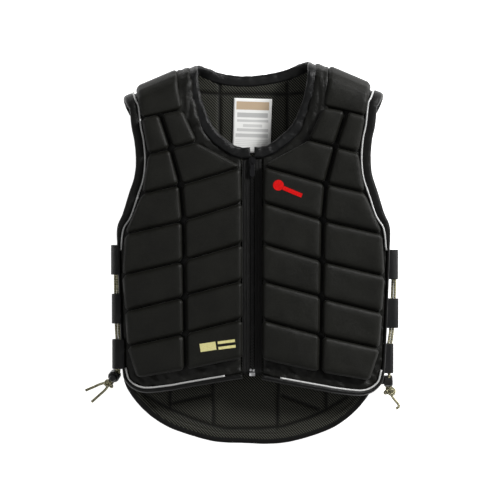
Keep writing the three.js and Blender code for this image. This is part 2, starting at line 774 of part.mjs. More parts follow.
// A round cord lock with a slot for both strands and a sprung button in its top
function cordLock(name) {
  const { middle, way, axis, across } = lockFrame(locks[name]);
  const basis = new THREE.Matrix4().makeBasis(across, way, axis).setPosition(middle);
  const low = -slotCentre;
  const high = lockHeight - slotCentre;
  const outline = [
    [0, low], [lockRadius - lockRound, low], [lockRadius, low + lockRound],
    [lockRadius, high - lockRound], [lockRadius - lockRound, high], [0, high],
  ];
  const drum = new THREE.LatheGeometry(outline.map(([r, h]) => new THREE.Vector2(r, h)), 16).rotateX(Math.PI / 2);
  const slotWide = strandHalf + cordRadius + slotRoom;
  const slotHigh = cordRadius + slotRoom;
  const slot = box(-slotWide, slotWide, -lockRadius - 1, lockRadius + 1, -slotHigh, slotHigh);
  const buttonFoot = high - buttonDepth;
  const well = buttonFoot - buttonTravel - seam;
  const bore = new THREE.CylinderGeometry(buttonRadius + seam, buttonRadius + seam, high + 1 - well, 16);
  bore.rotateX(Math.PI / 2).translate(0, 0, (well + high + 1) / 2);
  const body = solid(drum).subtract(solid(slot)).subtract(solid(bore));
  add(`cord_lock_${name}`, fromSolid(body).applyMatrix4(basis), plastic);
  const buttonTop = high + buttonStand;
  const crown = [[0, buttonFoot], [buttonRadius, buttonFoot], [buttonRadius, buttonTop - buttonRound],
    [buttonRadius - buttonRound, buttonTop], [0, buttonTop]];
  const button = new THREE.LatheGeometry(crown.map(([r, h]) => new THREE.Vector2(r, h)), 16).rotateX(Math.PI / 2);
  add(`lock_button_${name}`, button.applyMatrix4(basis), plastic);
}

function label() {
  const plate = new THREE.BoxGeometry(labelWidth, labelLength, labelThick);
  const mesh = add('label', plate, { color: 0xe9e9e4, roughness: 0.8, metalness: 0 });
  mesh.position.set(0, labelY, thickness + seam + labelThick / 2);
  mesh.rotation.z = labelTilt;
}

for (const [name, side] of halves) {
  frontHalf(name, side);
  frontPads(name, side);
  sleeveTops.forEach((_, index) => sleeve(name, side, index));
}
add('back_panel', backPanel(), shell);
add('back_binding', backBinding(), tape);
add('neck_binding', neckBinding(), tape);
zipPull(zipParts());
for (const [name, side] of halves) {
  lacingCord(name, side);
  cordLock(name);
}
label();

// The frame's origin is under the middle of the vest, its free cord ends aside
const footprint = new THREE.Box3().setFromObject(vest);
const middle = footprint.getCenter(new THREE.Vector3());
for (const [name, { lock, points }] of Object.entries(tails)) {
  const { centre } = locks[lock];
  const path = points.map((point) => point.map((value, axis) => value + centre[axis]));
  add(name, cordTube(path, tailSteps, cordRadius), cordLook);
}
vest.position.set(-middle.x, -middle.y, 0);

export default vest;
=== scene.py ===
import bmesh
import bpy
import math
from mathutils import Matrix, Vector, noise
from mathutils.bvhtree import BVHTree


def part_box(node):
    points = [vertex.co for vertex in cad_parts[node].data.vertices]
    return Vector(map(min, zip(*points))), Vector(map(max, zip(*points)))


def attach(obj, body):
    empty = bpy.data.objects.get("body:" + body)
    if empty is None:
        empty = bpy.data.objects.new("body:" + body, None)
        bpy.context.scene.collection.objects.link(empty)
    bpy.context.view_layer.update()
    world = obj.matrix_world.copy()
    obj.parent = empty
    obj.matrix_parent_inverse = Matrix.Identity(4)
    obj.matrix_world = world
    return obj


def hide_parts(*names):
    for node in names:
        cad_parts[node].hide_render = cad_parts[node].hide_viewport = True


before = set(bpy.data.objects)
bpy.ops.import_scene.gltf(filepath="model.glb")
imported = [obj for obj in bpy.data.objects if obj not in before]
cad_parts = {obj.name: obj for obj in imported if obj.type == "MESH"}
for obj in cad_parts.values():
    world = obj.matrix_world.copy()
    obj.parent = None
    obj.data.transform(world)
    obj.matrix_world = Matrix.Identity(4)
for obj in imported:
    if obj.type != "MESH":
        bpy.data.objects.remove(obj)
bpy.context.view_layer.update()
scene = bpy.context.scene
mm = 0.001

# The vest's own middle stands this far from the origin
vestShift = Vector((-0.495, 1.2, 0)) * mm
sides = {"left": -1, "right": 1}

print("camera and light")
shot = {"lens": 200, "sensor": 36, "width": 0.77, "aim": (-0.0039, 0.0049, 0.04)}
lamps = {
    "key": {"at": (2.1, 1.5, 1.65), "size": 0.6, "power": 112},
    "fill": {"at": (-1.4, -0.6, 2.4), "size": 1.8, "power": 13},
}
skyStrength = 0.22


def setCamera():
    data = bpy.data.cameras.new("camera")
    data.lens = shot["lens"]
    data.sensor_width = shot["sensor"]
    data.clip_end = 30
    camera = bpy.data.objects.new("camera", data)
    away = shot["width"] * shot["lens"] / shot["sensor"]
    camera.location = Vector(shot["aim"]) + Vector((0, 0, away))
    scene.collection.objects.link(camera)
    scene.camera = camera


def setLight():
    for name, lamp in lamps.items():
        data = bpy.data.lights.new(name, "AREA")
        data.size = lamp["size"]
        data.energy = lamp["power"]
        light = bpy.data.objects.new(name, data)
        light.location = lamp["at"]
        light.rotation_mode = "QUATERNION"
        light.rotation_quaternion = (-Vector(lamp["at"])).to_track_quat("-Z", "Y")
        scene.collection.objects.link(light)
    sky = bpy.data.worlds.new("sky")
    sky.use_nodes = True
    sky.node_tree.nodes["Background"].inputs["Color"].default_value = (1, 1, 1, 1)
    sky.node_tree.nodes["Background"].inputs["Strength"].default_value = skyStrength
    scene.world = sky
    scene.view_settings.view_transform = "Standard"


setCamera()
setLight()

print("shape helpers")


def asObject(name, shape):
    mesh = bpy.data.meshes.new(name)
    shape.to_mesh(mesh)
    shape.free()
    piece = bpy.data.objects.new(name, mesh)
    scene.collection.objects.link(piece)
    return piece


def applied(piece):
    graph = bpy.context.evaluated_depsgraph_get()
    mesh = bpy.data.meshes.new_from_object(piece.evaluated_get(graph))
    piece.modifiers.clear()
    piece.data = mesh
    return piece


def smoothShaded(piece):
    for face in piece.data.polygons:
        face.use_smooth = True
    return piece


# A node's solid as one even skin of small faces, ready to be worked as cloth
def softCopy(name, nodes, voxel, rounds=2):
    shape = bmesh.new()
    for node in nodes:
        shape.from_mesh(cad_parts[node].data)
    bmesh.ops.remove_doubles(shape, verts=shape.verts, dist=2e-5)
    bmesh.ops.recalc_face_normals(shape, faces=shape.faces)
    piece = asObject(name, shape)
    remesh = piece.modifiers.new("skin", "REMESH")
    remesh.mode = "VOXEL"
    remesh.voxel_size = voxel
    applied(piece)
    soften(piece, rounds, 0.5)
    return smoothShaded(piece)


def soften(piece, rounds, factor):
    shape = bmesh.new()
    shape.from_mesh(piece.data)
    for _ in range(rounds):
        bmesh.ops.smooth_vert(shape, verts=shape.verts, factor=factor, use_axis_x=True,
                              use_axis_y=True, use_axis_z=True)
    shape.to_mesh(piece.data)
    shape.free()


# Moves each point along its normal by what field says for it
def pushed(piece, field):
    mesh = piece.data
    normals = [vertex.normal.copy() for vertex in mesh.vertices]
    for vertex, normal in zip(mesh.vertices, normals):
        vertex.co += normal * field(vertex.co, normal)
    mesh.update()
    return piece


def finer(piece, levels=1):
    subdivision = piece.modifiers.new("finer", "SUBSURF")
    subdivision.levels = levels
    subdivision.render_levels = levels
    return piece


def dressed(piece, material, nodes=(), body="vest"):
    piece.data.materials.clear()
    piece.data.materials.append(material)
    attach(piece, body)
    if nodes:
        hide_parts(*nodes)
    return piece


def smoothPath(points, steps=8):
    spots = [Vector(p) for p in points]
    spots = [spots[0] * 2 - spots[1], *spots, spots[-1] * 2 - spots[-2]]
    path = []
    for i in range(1, len(spots) - 2):
        a, b, c, d = spots[i - 1:i + 3]
        for j in range(steps):
            t = j / steps
            path.append(0.5 * (2 * b + (c - a) * t + (2 * a - 5 * b + 4 * c - d) * t ** 2
                               + (3 * b - a - 3 * c + d) * t ** 3))
    return path + [spots[-2]]


def directionAt(path, i):
    return (path[min(i + 1, len(path) - 1)] - path[max(i - 1, 0)]).normalized()


# Extrudes a ring of edges in place and gives back its new points and edges
def grownRing(shape, edges):
    grown = bmesh.ops.extrude_edge_only(shape, edges=edges)["geom"]
    ring = [part for part in grown if isinstance(part, bmesh.types.BMVert)]
    return ring, [part for part in grown if isinstance(part, bmesh.types.BMEdge)]


def rounded(shape, offset, segments):
    bmesh.ops.bevel(shape, geom=shape.edges, offset=offset, segments=segments, affect="EDGES",
                    profile=0.5, material=-1)


def thickened(piece, thickness, offset):
    wall = piece.modifiers.new("wall", "SOLIDIFY")
    wall.thickness = thickness
    wall.offset = offset
    return applied(piece)


def addBox(shape, size, at):
    made = bmesh.ops.create_cube(shape, size=1)["verts"]
    bmesh.ops.scale(shape, verts=made, vec=size)
    bmesh.ops.translate(shape, verts=made, vec=at)


# A round cord along a path; its braid attribute holds the way round and the way along
def cordMesh(path, radius, segments=12):
    shape = bmesh.new()
    braid = shape.verts.layers.float_vector.new("braid")
    tangents = [directionAt(path, i) for i in range(len(path))]
    ring = bmesh.ops.create_circle(shape, segments=segments, radius=radius)["verts"]
    turn = Vector((0, 0, 1)).rotation_difference(tangents[0]).to_matrix()
    for vertex in ring:
        vertex[braid] = (vertex.co.x / radius, vertex.co.y / radius, 0)
    bmesh.ops.rotate(shape, verts=ring, cent=(0, 0, 0), matrix=turn)
    bmesh.ops.translate(shape, verts=ring, vec=path[0])
    bmesh.ops.contextual_create(shape, geom=ring)
    edges = list(shape.edges)
    along = 0
    for i in range(1, len(path)):
        ring, edges = grownRing(shape, edges)
        along += (path[i] - path[i - 1]).length
        turn = tangents[i - 1].rotation_difference(tangents[i]).to_matrix()
        bmesh.ops.rotate(shape, verts=ring, cent=path[i - 1], matrix=turn)
        bmesh.ops.translate(shape, verts=ring, vec=path[i] - path[i - 1])
        for vertex in ring:
            vertex[braid] = (vertex[braid].x, vertex[braid].y, along)
    bmesh.ops.contextual_create(shape, geom=ring)
    bmesh.ops.recalc_face_normals(shape, faces=shape.faces)
    return shape


print("materials")


def newMaterial(name, **shader):
    material = bpy.data.materials.new(name)
    material.use_nodes = True
    for socket, value in shader.items():
        material.node_tree.nodes["Principled BSDF"].inputs[socket.replace("_", " ")].default_value = value
    return material


# A new node; in_2=5 sets its third input
def node(tree, kind, **values):
    made = tree.nodes.new(kind)
    for key, value in values.items():
        if key.startswith("in_"):
            made.inputs[int(key[3:])].default_value = value
        else:
            setattr(made, key, value)
    return made


def newGroup(name, inputs, outputs):
    tree = bpy.data.node_groups.new(name, "ShaderNodeTree")
    for label, kind, value in inputs:
        socket = tree.interface.new_socket(label, in_out="INPUT", socket_type=kind)
        if value is not None:
            socket.default_value = value
    for label, kind in outputs:
        tree.interface.new_socket(label, in_out="OUTPUT", socket_type=kind)
    return tree, tree.nodes.new("NodeGroupInput"), tree.nodes.new("NodeGroupOutput")


def maths(tree, operation, a, b=None, c=None):
    made = node(tree, "ShaderNodeMath", operation=operation)
    for i, value in enumerate((a, b, c)):
        if value is None:
            continue
        if isinstance(value, (int, float)):
            made.inputs[i].default_value = value
        else:
            tree.links.new(value, made.inputs[i])
    return made.outputs[0]


def times(tree, a, b):
    return maths(tree, "MULTIPLY", a, b)


def plus(tree, a, b):
    return maths(tree, "ADD", a, b)


def placeOnObject(tree, socket):
    place = node(tree, "ShaderNodeTexCoord")
    tree.links.new(place.outputs["Object"], socket)


def partsOf(tree, vector):
    parts = node(tree, "ShaderNodeSeparateXYZ")
    tree.links.new(vector, parts.inputs[0])
    return parts.outputs


def addRelief(tree, height, strength, distance):
    relief = node(tree, "ShaderNodeBump")
    relief.inputs["Strength"].default_value = strength
    relief.inputs["Distance"].default_value = distance
    tree.links.new(height, relief.inputs["Height"])
    tree.links.new(relief.outputs[0], tree.nodes["Principled BSDF"].inputs["Normal"])


# Plain weave: threads over and under each other, and the uneven shade of worn cloth
def makeClothGroup():
    tree, given, out = newGroup("clothWeave", [
        ("Vector", "NodeSocketVector", None), ("Threads", "NodeSocketFloat", 900.0),
        ("Patch", "NodeSocketFloat", 30.0), ("Grain", "NodeSocketFloat", 700.0),
        ("Crease", "NodeSocketFloat", 0.0),
    ], [("Height", "NodeSocketFloat"), ("Shade", "NodeSocketFloat")])
    x, y, z = partsOf(tree, given.outputs["Vector"])
    across = plus(tree, x, times(tree, z, 0.7))
    along = plus(tree, y, times(tree, z, 0.7))
    u = times(tree, across, given.outputs["Threads"])
    v = times(tree, along, given.outputs["Threads"])
    warp = maths(tree, "ABSOLUTE", maths(tree, "SINE", times(tree, u, math.pi)))
    weft = maths(tree, "ABSOLUTE", maths(tree, "SINE", times(tree, v, math.pi)))
    square = plus(tree, maths(tree, "FLOOR", u), maths(tree, "FLOOR", v))
    over = maths(tree, "FLOORED_MODULO", square, 2)
    under = maths(tree, "SUBTRACT", 1, over)
    height = plus(tree, times(tree, warp, over), times(tree, weft, under))
    crease = node(tree, "ShaderNodeTexNoise", in_2=95.0, in_3=3.0)
    crease.inputs["Distortion"].default_value = 1.2
    tree.links.new(given.outputs["Vector"], crease.inputs["Vector"])
    folded = times(tree, crease.outputs[0], given.outputs["Crease"])
    tree.links.new(plus(tree, height, folded), out.inputs["Height"])
    grain = node(tree, "ShaderNodeTexNoise", in_3=2.0)
    patch = node(tree, "ShaderNodeTexNoise", in_3=3.0)
    for texture, socket in ((grain, "Grain"), (patch, "Patch")):
        tree.links.new(given.outputs["Vector"], texture.inputs["Vector"])
        tree.links.new(given.outputs[socket], texture.inputs["Scale"])
    shade = plus(tree, times(tree, grain.outputs[0], 0.6), times(tree, patch.outputs[0], 0.4))
    tree.links.new(shade, out.inputs["Shade"])
    return tree


clothGroup = makeClothGroup()


def clothMaterial(name, dark, light, threads=900.0, patch=30.0, grain=700.0, crease=0.0,
                  bump=0.35, depth=0.0002, **shader):
    material = newMaterial(name, **shader)
    tree = material.node_tree
    surface = tree.nodes["Principled BSDF"]
    weave = node(tree, "ShaderNodeGroup", node_tree=clothGroup)
    for socket, value in (("Threads", threads), ("Patch", patch), ("Grain", grain), ("Crease", crease)):
        weave.inputs[socket].default_value = value
    placeOnObject(tree, weave.inputs["Vector"])
    ramp = node(tree, "ShaderNodeValToRGB")
    for stop, position, colour in zip(ramp.color_ramp.elements, (0.36, 0.66), (dark, light)):
        stop.position = position
        stop.color = (*colour, 1)
    tree.links.new(weave.outputs["Shade"], ramp.inputs[0])
    tree.links.new(ramp.outputs[0], surface.inputs["Base Color"])
    addRelief(tree, weave.outputs["Height"], bump, depth)
    return material


padCloth = clothMaterial("padCloth", (0.0022, 0.0022, 0.0012), (0.0078, 0.0078, 0.0056), threads=1100.0,
                         crease=5.0, Roughness=0.5, Specular_IOR_Level=0.2, Sheen_Weight=0.06,
                         Sheen_Roughness=0.3)
baseCloth = clothMaterial("baseCloth", (0.0018, 0.0018, 0.0012), (0.006, 0.006, 0.0045), threads=1300.0,
                          crease=16.0, Roughness=0.42, Specular_IOR_Level=0.2, Sheen_Weight=0.04,
                          Sheen_Roughness=0.3)
bindingCloth = clothMaterial("bindingCloth", (0.002, 0.002, 0.0018), (0.0068, 0.0068, 0.0064), threads=1600.0,
                             grain=1200.0, crease=9.0, Roughness=0.4, Specular_IOR_Level=0.16,
                             Sheen_Weight=0.03)
# The neck binding is the binding tape made darker and bluer: painted shade of the collar
shadedNeckCloth = clothMaterial("shadedNeckCloth", (0.0006, 0.0007, 0.0008), (0.0022, 0.0024, 0.0026), threads=1600.0,
                          grain=1200.0, crease=14.0, Roughness=0.38, Specular_IOR_Level=0.24,
                          Sheen_Weight=0.03)
webbingCloth = clothMaterial("webbingCloth", (0.0018, 0.0018, 0.0022), (0.0056, 0.0056, 0.006), threads=620.0,
                             bump=0.7, depth=0.0004, Roughness=0.5, Specular_IOR_Level=0.2)
tapeCloth = clothMaterial("tapeCloth", (0.0018, 0.0018, 0.0016), (0.0056, 0.0056, 0.005), threads=900.0,
                          bump=0.6, Roughness=0.5, Specular_IOR_Level=0.2)
shellCloth = clothMaterial("shellCloth", (0.0022, 0.0022, 0.0016), (0.0075, 0.0075, 0.006), threads=1100.0,
                           Roughness=0.55, Specular_IOR_Level=0.2)

print("cords")
cordLook = {"radius": 2.0, "braids": 6, "pitch": 5.2}
lacing = {
    "turn": 5, "strandHalf": 2.3, "shift": 3.6, "gap": 0.4, "knot": 5.2, "knotSteps": 72, "knotDepth": 1.3,
    "knotCord": {"left": 2.3, "right": 2.7}, "knotLoop": {"left": 2.2, "right": 2.6},
    "left": [(210, -8, 34.6, 0, 5), (209.6, -40, 33.5, 1.9, 1.8), (208.2, -115.1, 30.4, 2.1, 0),
             (206.3, -148, 29, 2.2, 0), (207.8, -172, 28, 2.3, 0)],
    "right": [(217, -8, 34.6, 0, 5), (218.4, -40, 33.5, 1.9, 1.8), (215, -115.1, 30.4, 2.1, 0),
              (210.6, -148, 29, 2.2, 0), (210.8, -172, 28, 2.3, 0)],
}
locks = {
    "left": {"centre": (-212.5, -190, 23), "along": (-0.5, -0.75, -0.43), "facing": (0, 0, 1), "radius": 9},
    "right": {"centre": (211.8, -198.5, 23), "along": (0.05, -0.9, -0.43), "facing": (-1, 0, 0), "radius": 9},
}
tails = {
    "left_a": [(-224.8, -201.2, 14.8), (-236, -204.5, 7.5), (-246, -209, 2.9), (-259, -214.5, 2.4)],
    "left_b": [(-222.2, -205, 14.1), (-228.5, -213.5, 6.5), (-239, -223, 2.8), (-249.5, -232.5, 2.4)],
    "right": [(214.1, -215.6, 13.4), (218, -225, 5.4), (226, -234.5, 2.6), (228, -239.5, 2.4),
              (223.5, -243, 2.4)],
}


# Black braid with cream flecks, laid out along the cord by its braid attribute
def makeCordMaterial():
    material = newMaterial("fleckedCord", Roughness=0.6, Specular_IOR_Level=0.3)
    tree = material.node_tree
    surface = tree.nodes["Principled BSDF"]
    braid = node(tree, "ShaderNodeAttribute", attribute_name="braid")
    x, y, run = partsOf(tree, braid.outputs["Vector"])
    angle = maths(tree, "ARCTAN2", y, x)
    along = times(tree, run, 2 * math.pi / (cordLook["pitch"] * mm))
    strands = cordLook["braids"] / 2
    one = maths(tree, "SINE", plus(tree, times(tree, angle, strands), along))
    two = maths(tree, "SINE", maths(tree, "SUBTRACT", times(tree, angle, strands), along))
    height = maths(tree, "MAXIMUM", one, two)
    cell = times(tree, one, two)
    noisy = node(tree, "ShaderNodeTexNoise", in_2=260.0, in_3=1.0)
    placeOnObject(tree, noisy.inputs["Vector"])
    uneven = plus(tree, cell, times(tree, noisy.outputs[0], 0.9))
    fleck = maths(tree, "GREATER_THAN", uneven, 0.5)
    tint = node(tree, "ShaderNodeMix", data_type="RGBA")
    tint.inputs[6].default_value = (0.008, 0.008, 0.008, 1)
    tint.inputs[7].default_value = (0.62, 0.58, 0.36, 1)
    tree.links.new(fleck, tint.inputs[0])
    tree.links.new(tint.outputs[2], surface.inputs["Base Color"])
    addRelief(tree, height, 0.7, 0.0004)
    return material


fleckedCord = makeCordMaterial()


def toFrame(point):
    return Vector(point) * mm + vestShift


def makeTails():
    for name, points in tails.items():
        path = smoothPath([toFrame(p) for p in points], 7)
        piece = smoothShaded(asObject(f"cordTail_{name}", cordMesh(path, cordLook["radius"] * mm)))
        dressed(piece, fleckedCord, [f"cord_tail_{name}"])


def lockFrame(lock):
    way = Vector(lock["along"]).normalized()
    axis = Vector(lock["facing"])
    axis = (axis - way * axis.dot(way)).normalized()
    return Vector(lock["centre"]), way, axis, way.cross(axis)


# Two strands through the sleeves and the lock, the turn that joins them and the knot below the lock
def makeLacing(name, side):
    middle, way, axis, across = lockFrame(locks[name])
    radius = locks[name]["radius"]
    knot = middle + way * (radius + lacing["knot"] + lacing["gap"])
    shift = -side * lacing["shift"]
    strands = []
    for strand in (-1, 1):
        route = [(side * x + strand * apartX, y + shift, z + strand * apartZ)
                 for x, y, z, apartX, apartZ in lacing[name]]
        lateral = across * strand * lacing["strandHalf"] * (1 if across.x > 0 else -1)
        for reach in (-radius - 1, -radius / 3, radius / 3, radius + 1):
            route.append(tuple(middle + way * reach + lateral))
        route.append(tuple(knot))
        cord = cordMesh(smoothPath([toFrame(p) for p in route], 8), cordLook["radius"] * mm)
        strands.append(asObject(f"lacingStrand_{name}_{'ab'[strand > 0]}", cord))
    topX, topY, topZ = lacing[name][0][:3]
    bend = [(side * topX, topY + shift + lacing["turn"] * math.sin(math.pi * i / 8),
             topZ - lacing["turn"] * math.cos(math.pi * i / 8)) for i in range(9)]
    path = smoothPath([toFrame(p) for p in bend], 3)
    strands.append(asObject(f"lacingTurn_{name}", cordMesh(path, cordLook["radius"] * mm)))
    level, upright = sorted((axis, across), key=lambda direction: abs(direction.z))
    loop = []
    knot += way * lacing["knotLoop"][name]
    for i in range(lacing["knotSteps"] + 1):
        t = 2 * math.pi * i / lacing["knotSteps"]
        spot = Vector((math.sin(t) + 2 * math.sin(2 * t), math.cos(t) - 2 * math.cos(2 * t),
                       -lacing["knotDepth"] * math.sin(3 * t)))
        spot *= lacing["knotLoop"][name]
        loop.append(toFrame(knot + level * spot.x + way * spot.y + upright * spot.z))
    strands.append(asObject(f"lacingKnot_{name}", cordMesh(loop, lacing["knotCord"][name] * mm)))
    for i, piece in enumerate(strands):
        dressed(smoothShaded(piece), fleckedCord, [f"lacing_cord_{name}"] if i == 0 else ())


makeTails()
for name, side in sides.items():
    makeLacing(name, side)

print("edges of the vest")
vest = {"halfWidth": 209, "halfLength": 296, "thickness": 21, "wall": 6, "crown": 8.4, "foldRadius": 20,
        "foldTop": 292.4, "foldDrop": 50, "neckHalf": 82, "tipHalf": 200, "collarHalf": 71,
        "collarRadius": 60, "sideDrop": 26, "dropRun": 460, "spread": 0.01, "spreadRun": 40}
foldTurn = math.pi * vest["foldRadius"]


def bendLine(x):
    outward = max(0, abs(x) - vest["neckHalf"]) / (vest["tipHalf"] - vest["neckHalf"])
    return vest["foldTop"] - vest["foldRadius"] - vest["crown"] - vest["foldDrop"] * outward


def frontLining(x, y):
    run = min(1, max(0, (bendLine(x) - y) / vest["dropRun"]))
    sunk = run * run * (3 - 2 * run)
    return vest["thickness"] + 2 * vest["foldRadius"] - vest["sideDrop"] * sunk * (x / vest["halfWidth"]) ** 2


# A point of the unrolled vest, in millimetres: v runs up the front, over the shoulder and down the back
def place(x, v, height):
    bend = bendLine(x)
    past = v - bend
    left = foldTurn - past
    y, z = v, frontLining(x, v) + height
    if 0 < past <= foldTurn / 2:
        angle = past / vest["foldRadius"]
        y = bend + (vest["foldRadius"] + height) * math.sin(angle)
        z = vest["thickness"] + vest["foldRadius"] + (vest["foldRadius"] + height) * math.cos(angle)
    elif past > foldTurn / 2 and left > 0:
        inward = max(0, 1 - (x / vest["collarHalf"]) ** 2)
        radius = vest["foldRadius"] + (vest["collarRadius"] - vest["foldRadius"]) * inward
        y = bend + (radius + height) * math.sin(left / radius)
        z = vest["thickness"] + radius - (radius + height) * math.cos(left / radius)
    elif left <= 0:
        y, z = bend + left, vest["thickness"] - height
    laid = 1 + vest["spread"] * math.tanh(x / vest["spreadRun"])
    return Vector((x * laid, y * laid, z))


# Edges as shares of the half width and half length, with the tape's width where it changes
frontEdge = [(0.618, -0.704, 6.3), (0.809, -0.716, 5.9), (0.918, -0.676, 4.6), (0.952, -0.606, 3.3),
             (0.967, -0.404, 3.1), (0.978, -0.196, 3.1), (0.984, 0.012, 3.6), (0.965, 0.122, 7.9),
             (0.908, 0.191, 11.5), (0.857, 0.298, 12.3), (0.816, 0.387, 12.3), (0.803, 0.480, 12.3),
             (0.813, 0.579, 12.3), (0.835, 0.657, 12.3)]
frontEdgeWraps = [(0.850, 0), (0.868, 0.12), (0.882, 0.24), (0.892, 0.36), (0.898, 0.48), (0.900, 0.6)]
tailEdge = [(0.191, -0.950, 12.3), (0.353, -0.924, 12.3), (0.526, -0.879, 12.3), (0.636, -0.830, 12.3),
            (0.721, -0.775, 11.7), (0.787, -0.716, 10.9), (0.860, -0.643, 8.4), (0.912, -0.518, 5.4),
            (0.919, -0.300, 4.6), (0.919, -0.066, 4.6), (0.897, 0.090, 8.4), (0.838, 0.210, 11.7),
            (0.797, 0.324, 12.3), (0.785, 0.454, 12.3), (0.795, 0.574, 12.3)]
tailEdgeWraps = [(0.815, 1.39), (0.842, 1.15), (0.870, 1.0), (0.888, 0.86), (0.896, 0.72), (0.900, 0.6)]
neckEdge = [(0.012, 0.499), (0.074, 0.499), (0.154, 0.517), (0.257, 0.569), (0.346, 0.637), (0.404, 0.725),
            (0.441, 0.803)]
neckWraps = [(0.458, 0), (0.464, 0.12), (0.468, 0.24), (0.470, 0.36), (0.470, 0.48), (0.470, 0.6),
             (0.430, 0.70), (0.368, 0.82), (0.279, 0.94), (0.147, 1.03), (0, 1.075)]
hemStart = (0.074, -0.635)
tailMiddle = -0.958
wideBand = 12.3
neckBand = 13.5
smoothEnough = 40


def onFront(side, x, y, band):
    return Vector((side * x * vest["halfWidth"], y * vest["halfLength"], band))


def onBend(side, x, wrap, band):
    x *= vest["halfWidth"]
    return Vector((side * x, bendLine(x) + wrap * foldTurn, band))


def onBack(side, x, y, band):
    x *= vest["halfWidth"]
    return Vector((side * x, 2 * bendLine(x) + foldTurn - y * vest["halfLength"], band))


def evenPath(points, step):
    rough = smoothPath(points, 6) if len(points) < smoothEnough else points
    path = [rough[0]]
    for spot in rough[1:]:
        if Vector((spot.x - path[-1].x, spot.y - path[-1].y)).length >= step:
            path.append(spot)
    return path


# Carries a closed outline of (outward, height) pairs along an edge, as tape or piping is sewn on
def sewnAlong(name, path, outline, sideways):
    foot = [place(p.x, p.y, 0) for p in path]
    shape = bmesh.new()
    spot = shape.verts.layers.int.new("spot")
    count = len(outline(path[0].z, 0))
    ring = bmesh.ops.create_circle(shape, segments=count, radius=1)["verts"]
    for i, vertex in enumerate(ring):
        vertex[spot] = i
    ends = [list(ring)]
    edges = list(shape.edges)
    along = 0
    for k, here in enumerate(path):
        if k > 0:
            ring, edges = grownRing(shape, edges)
            along += (foot[k] - foot[k - 1]).length
        tangent = directionAt(foot, k)
        alongX = place(here.x + 1, here.y, 0) - place(here.x - 1, here.y, 0)
        alongV = place(here.x, here.y + 1, 0) - place(here.x, here.y - 1, 0)
        normal = (place(here.x, here.y, 1) - foot[k]).normalized()
        across = tangent.cross(normal).normalized() * sideways
        facing = alongX.cross(alongV).normalized()
        across -= normal * (across.dot(facing) / normal.dot(facing))
        section = outline(here.z, along)
        for vertex in ring:
            out, up = section[vertex[spot]]
            vertex.co = toFrame(foot[k] + across * out + normal * up)
    ends.append(list(ring))
    for end in ends:
        bmesh.ops.contextual_create(shape, geom=end)
    bmesh.ops.recalc_face_normals(shape, faces=shape.faces)
    return smoothShaded(asObject(name, shape))


print("quilted pads")
padding = {"voxel": 1.7, "pressure": 4.0, "frames": 9, "crown": 1.2, "sideways": 0.2, "held": -0.45,
           "quality": 3, "sideFrom": -0.3, "wall": 0.9, "lip": 0.3, "dent": 0.35, "dentScale": 45}
rowsOfPads = range(1, 8)


# All pads swell together as closed cloth bags held at their undersides
def swell(pads):
    shape = bmesh.new()
    for pad in pads:
        shape.from_mesh(pad.data)
    bag = asObject("padBag", shape)
    held = bag.vertex_groups.new(name="held")
    held.add([v.index for v in bag.data.vertices if v.normal.z < padding["held"]], 1, "REPLACE")
    cloth = bag.modifiers.new("swelling", "CLOTH")
    cloth.settings.use_pressure = True
    cloth.settings.uniform_pressure_force = padding["pressure"]
    cloth.settings.effector_weights.gravity = 0
    cloth.settings.vertex_group_mass = "held"
    cloth.settings.quality = padding["quality"]
    cloth.point_cache.frame_end = padding["frames"]
    for step in range(1, padding["frames"] + 1):
        scene.frame_set(step)
    graph = bpy.context.evaluated_depsgraph_get()
    swollen = [v.co.copy() for v in bag.evaluated_get(graph).data.vertices]
    scene.frame_set(1)
    bpy.data.objects.remove(bag)
    start = 0
    for pad in pads:
        points = pad.data.vertices
        moves = [swollen[start + v.index] - v.co for v in points]
        start += len(points)
        farthest = max(move.length for move in moves)
        share = min(1, padding["crown"] * mm / farthest) if farthest > 0 else 0
        for vertex, move in zip(points, moves):
            move *= share
            vertex.co += Vector((move.x * padding["sideways"], move.y * padding["sideways"], max(move.z, 0)))
        pad.data.update()
        print(pad.name, "swells", round(farthest * 1000, 1), "mm")


# Fills the pad out to its seams, so that its top edge turns over sharply
def squared(pad):
    mesh = pad.data
    normals = [vertex.normal.copy() for vertex in mesh.vertices]
    for vertex, normal in zip(mesh.vertices, normals):
        outward = Vector((normal.x, normal.y, 0))
        if normal.z > padding["sideFrom"]:
            vertex.co += outward * (padding["wall"] + padding["lip"] * max(0, normal.z)) * mm
    mesh.update()


# Foam gives a little here and there under the cloth
def dented(co, normal):
    return noise.noise(co * padding["dentScale"]) * padding["dent"] * mm * max(0, normal.z)


def makePads():
    pads = []
    for name in sides:
        for column in ("inner", "outer"):
            for row in rowsOfPads:
                cadName = f"pad_{name}_{column}_{row}"
                pad = softCopy(f"{column}Pad_{name}_{row}", [cadName], padding["voxel"] * mm, 1)
                squared(pad)
                pads.append(dressed(pad, padCloth, [cadName]))
        pad = softCopy(f"shoulderPad_{name}", [f"shoulder_pad_{name}"], padding["voxel"] * mm, 2)
        squared(pad)
        pads.append(dressed(pad, padCloth, [f"shoulder_pad_{name}"]))
    swell(pads)
    for pad in pads:
        pushed(pad, dented)
    return pads


pads = makePads()

print("front panels")
panelLook = {"voxel": 2.6, "ripple": 1.4, "rippleScale": 75, "fine": 0.5, "fineScale": 190, "full": 6.6,
             "folds": 2.0, "foldScale": (210, 28), "hem": 2.2, "hemScale": (90, 70, 20), "rounds": 5,
             "settled": 0.2, "bendAt": (0.236, 0.041), "fullFrom": (0.15, 0.225), "padEdge": (0.113, 0.121),
             "hemFrom": (0.16, 0.185)}


def eased(value, low, high):
    share = min(1, max(0, (value - low) / (high - low)))
    return share * share * (3 - 2 * share)


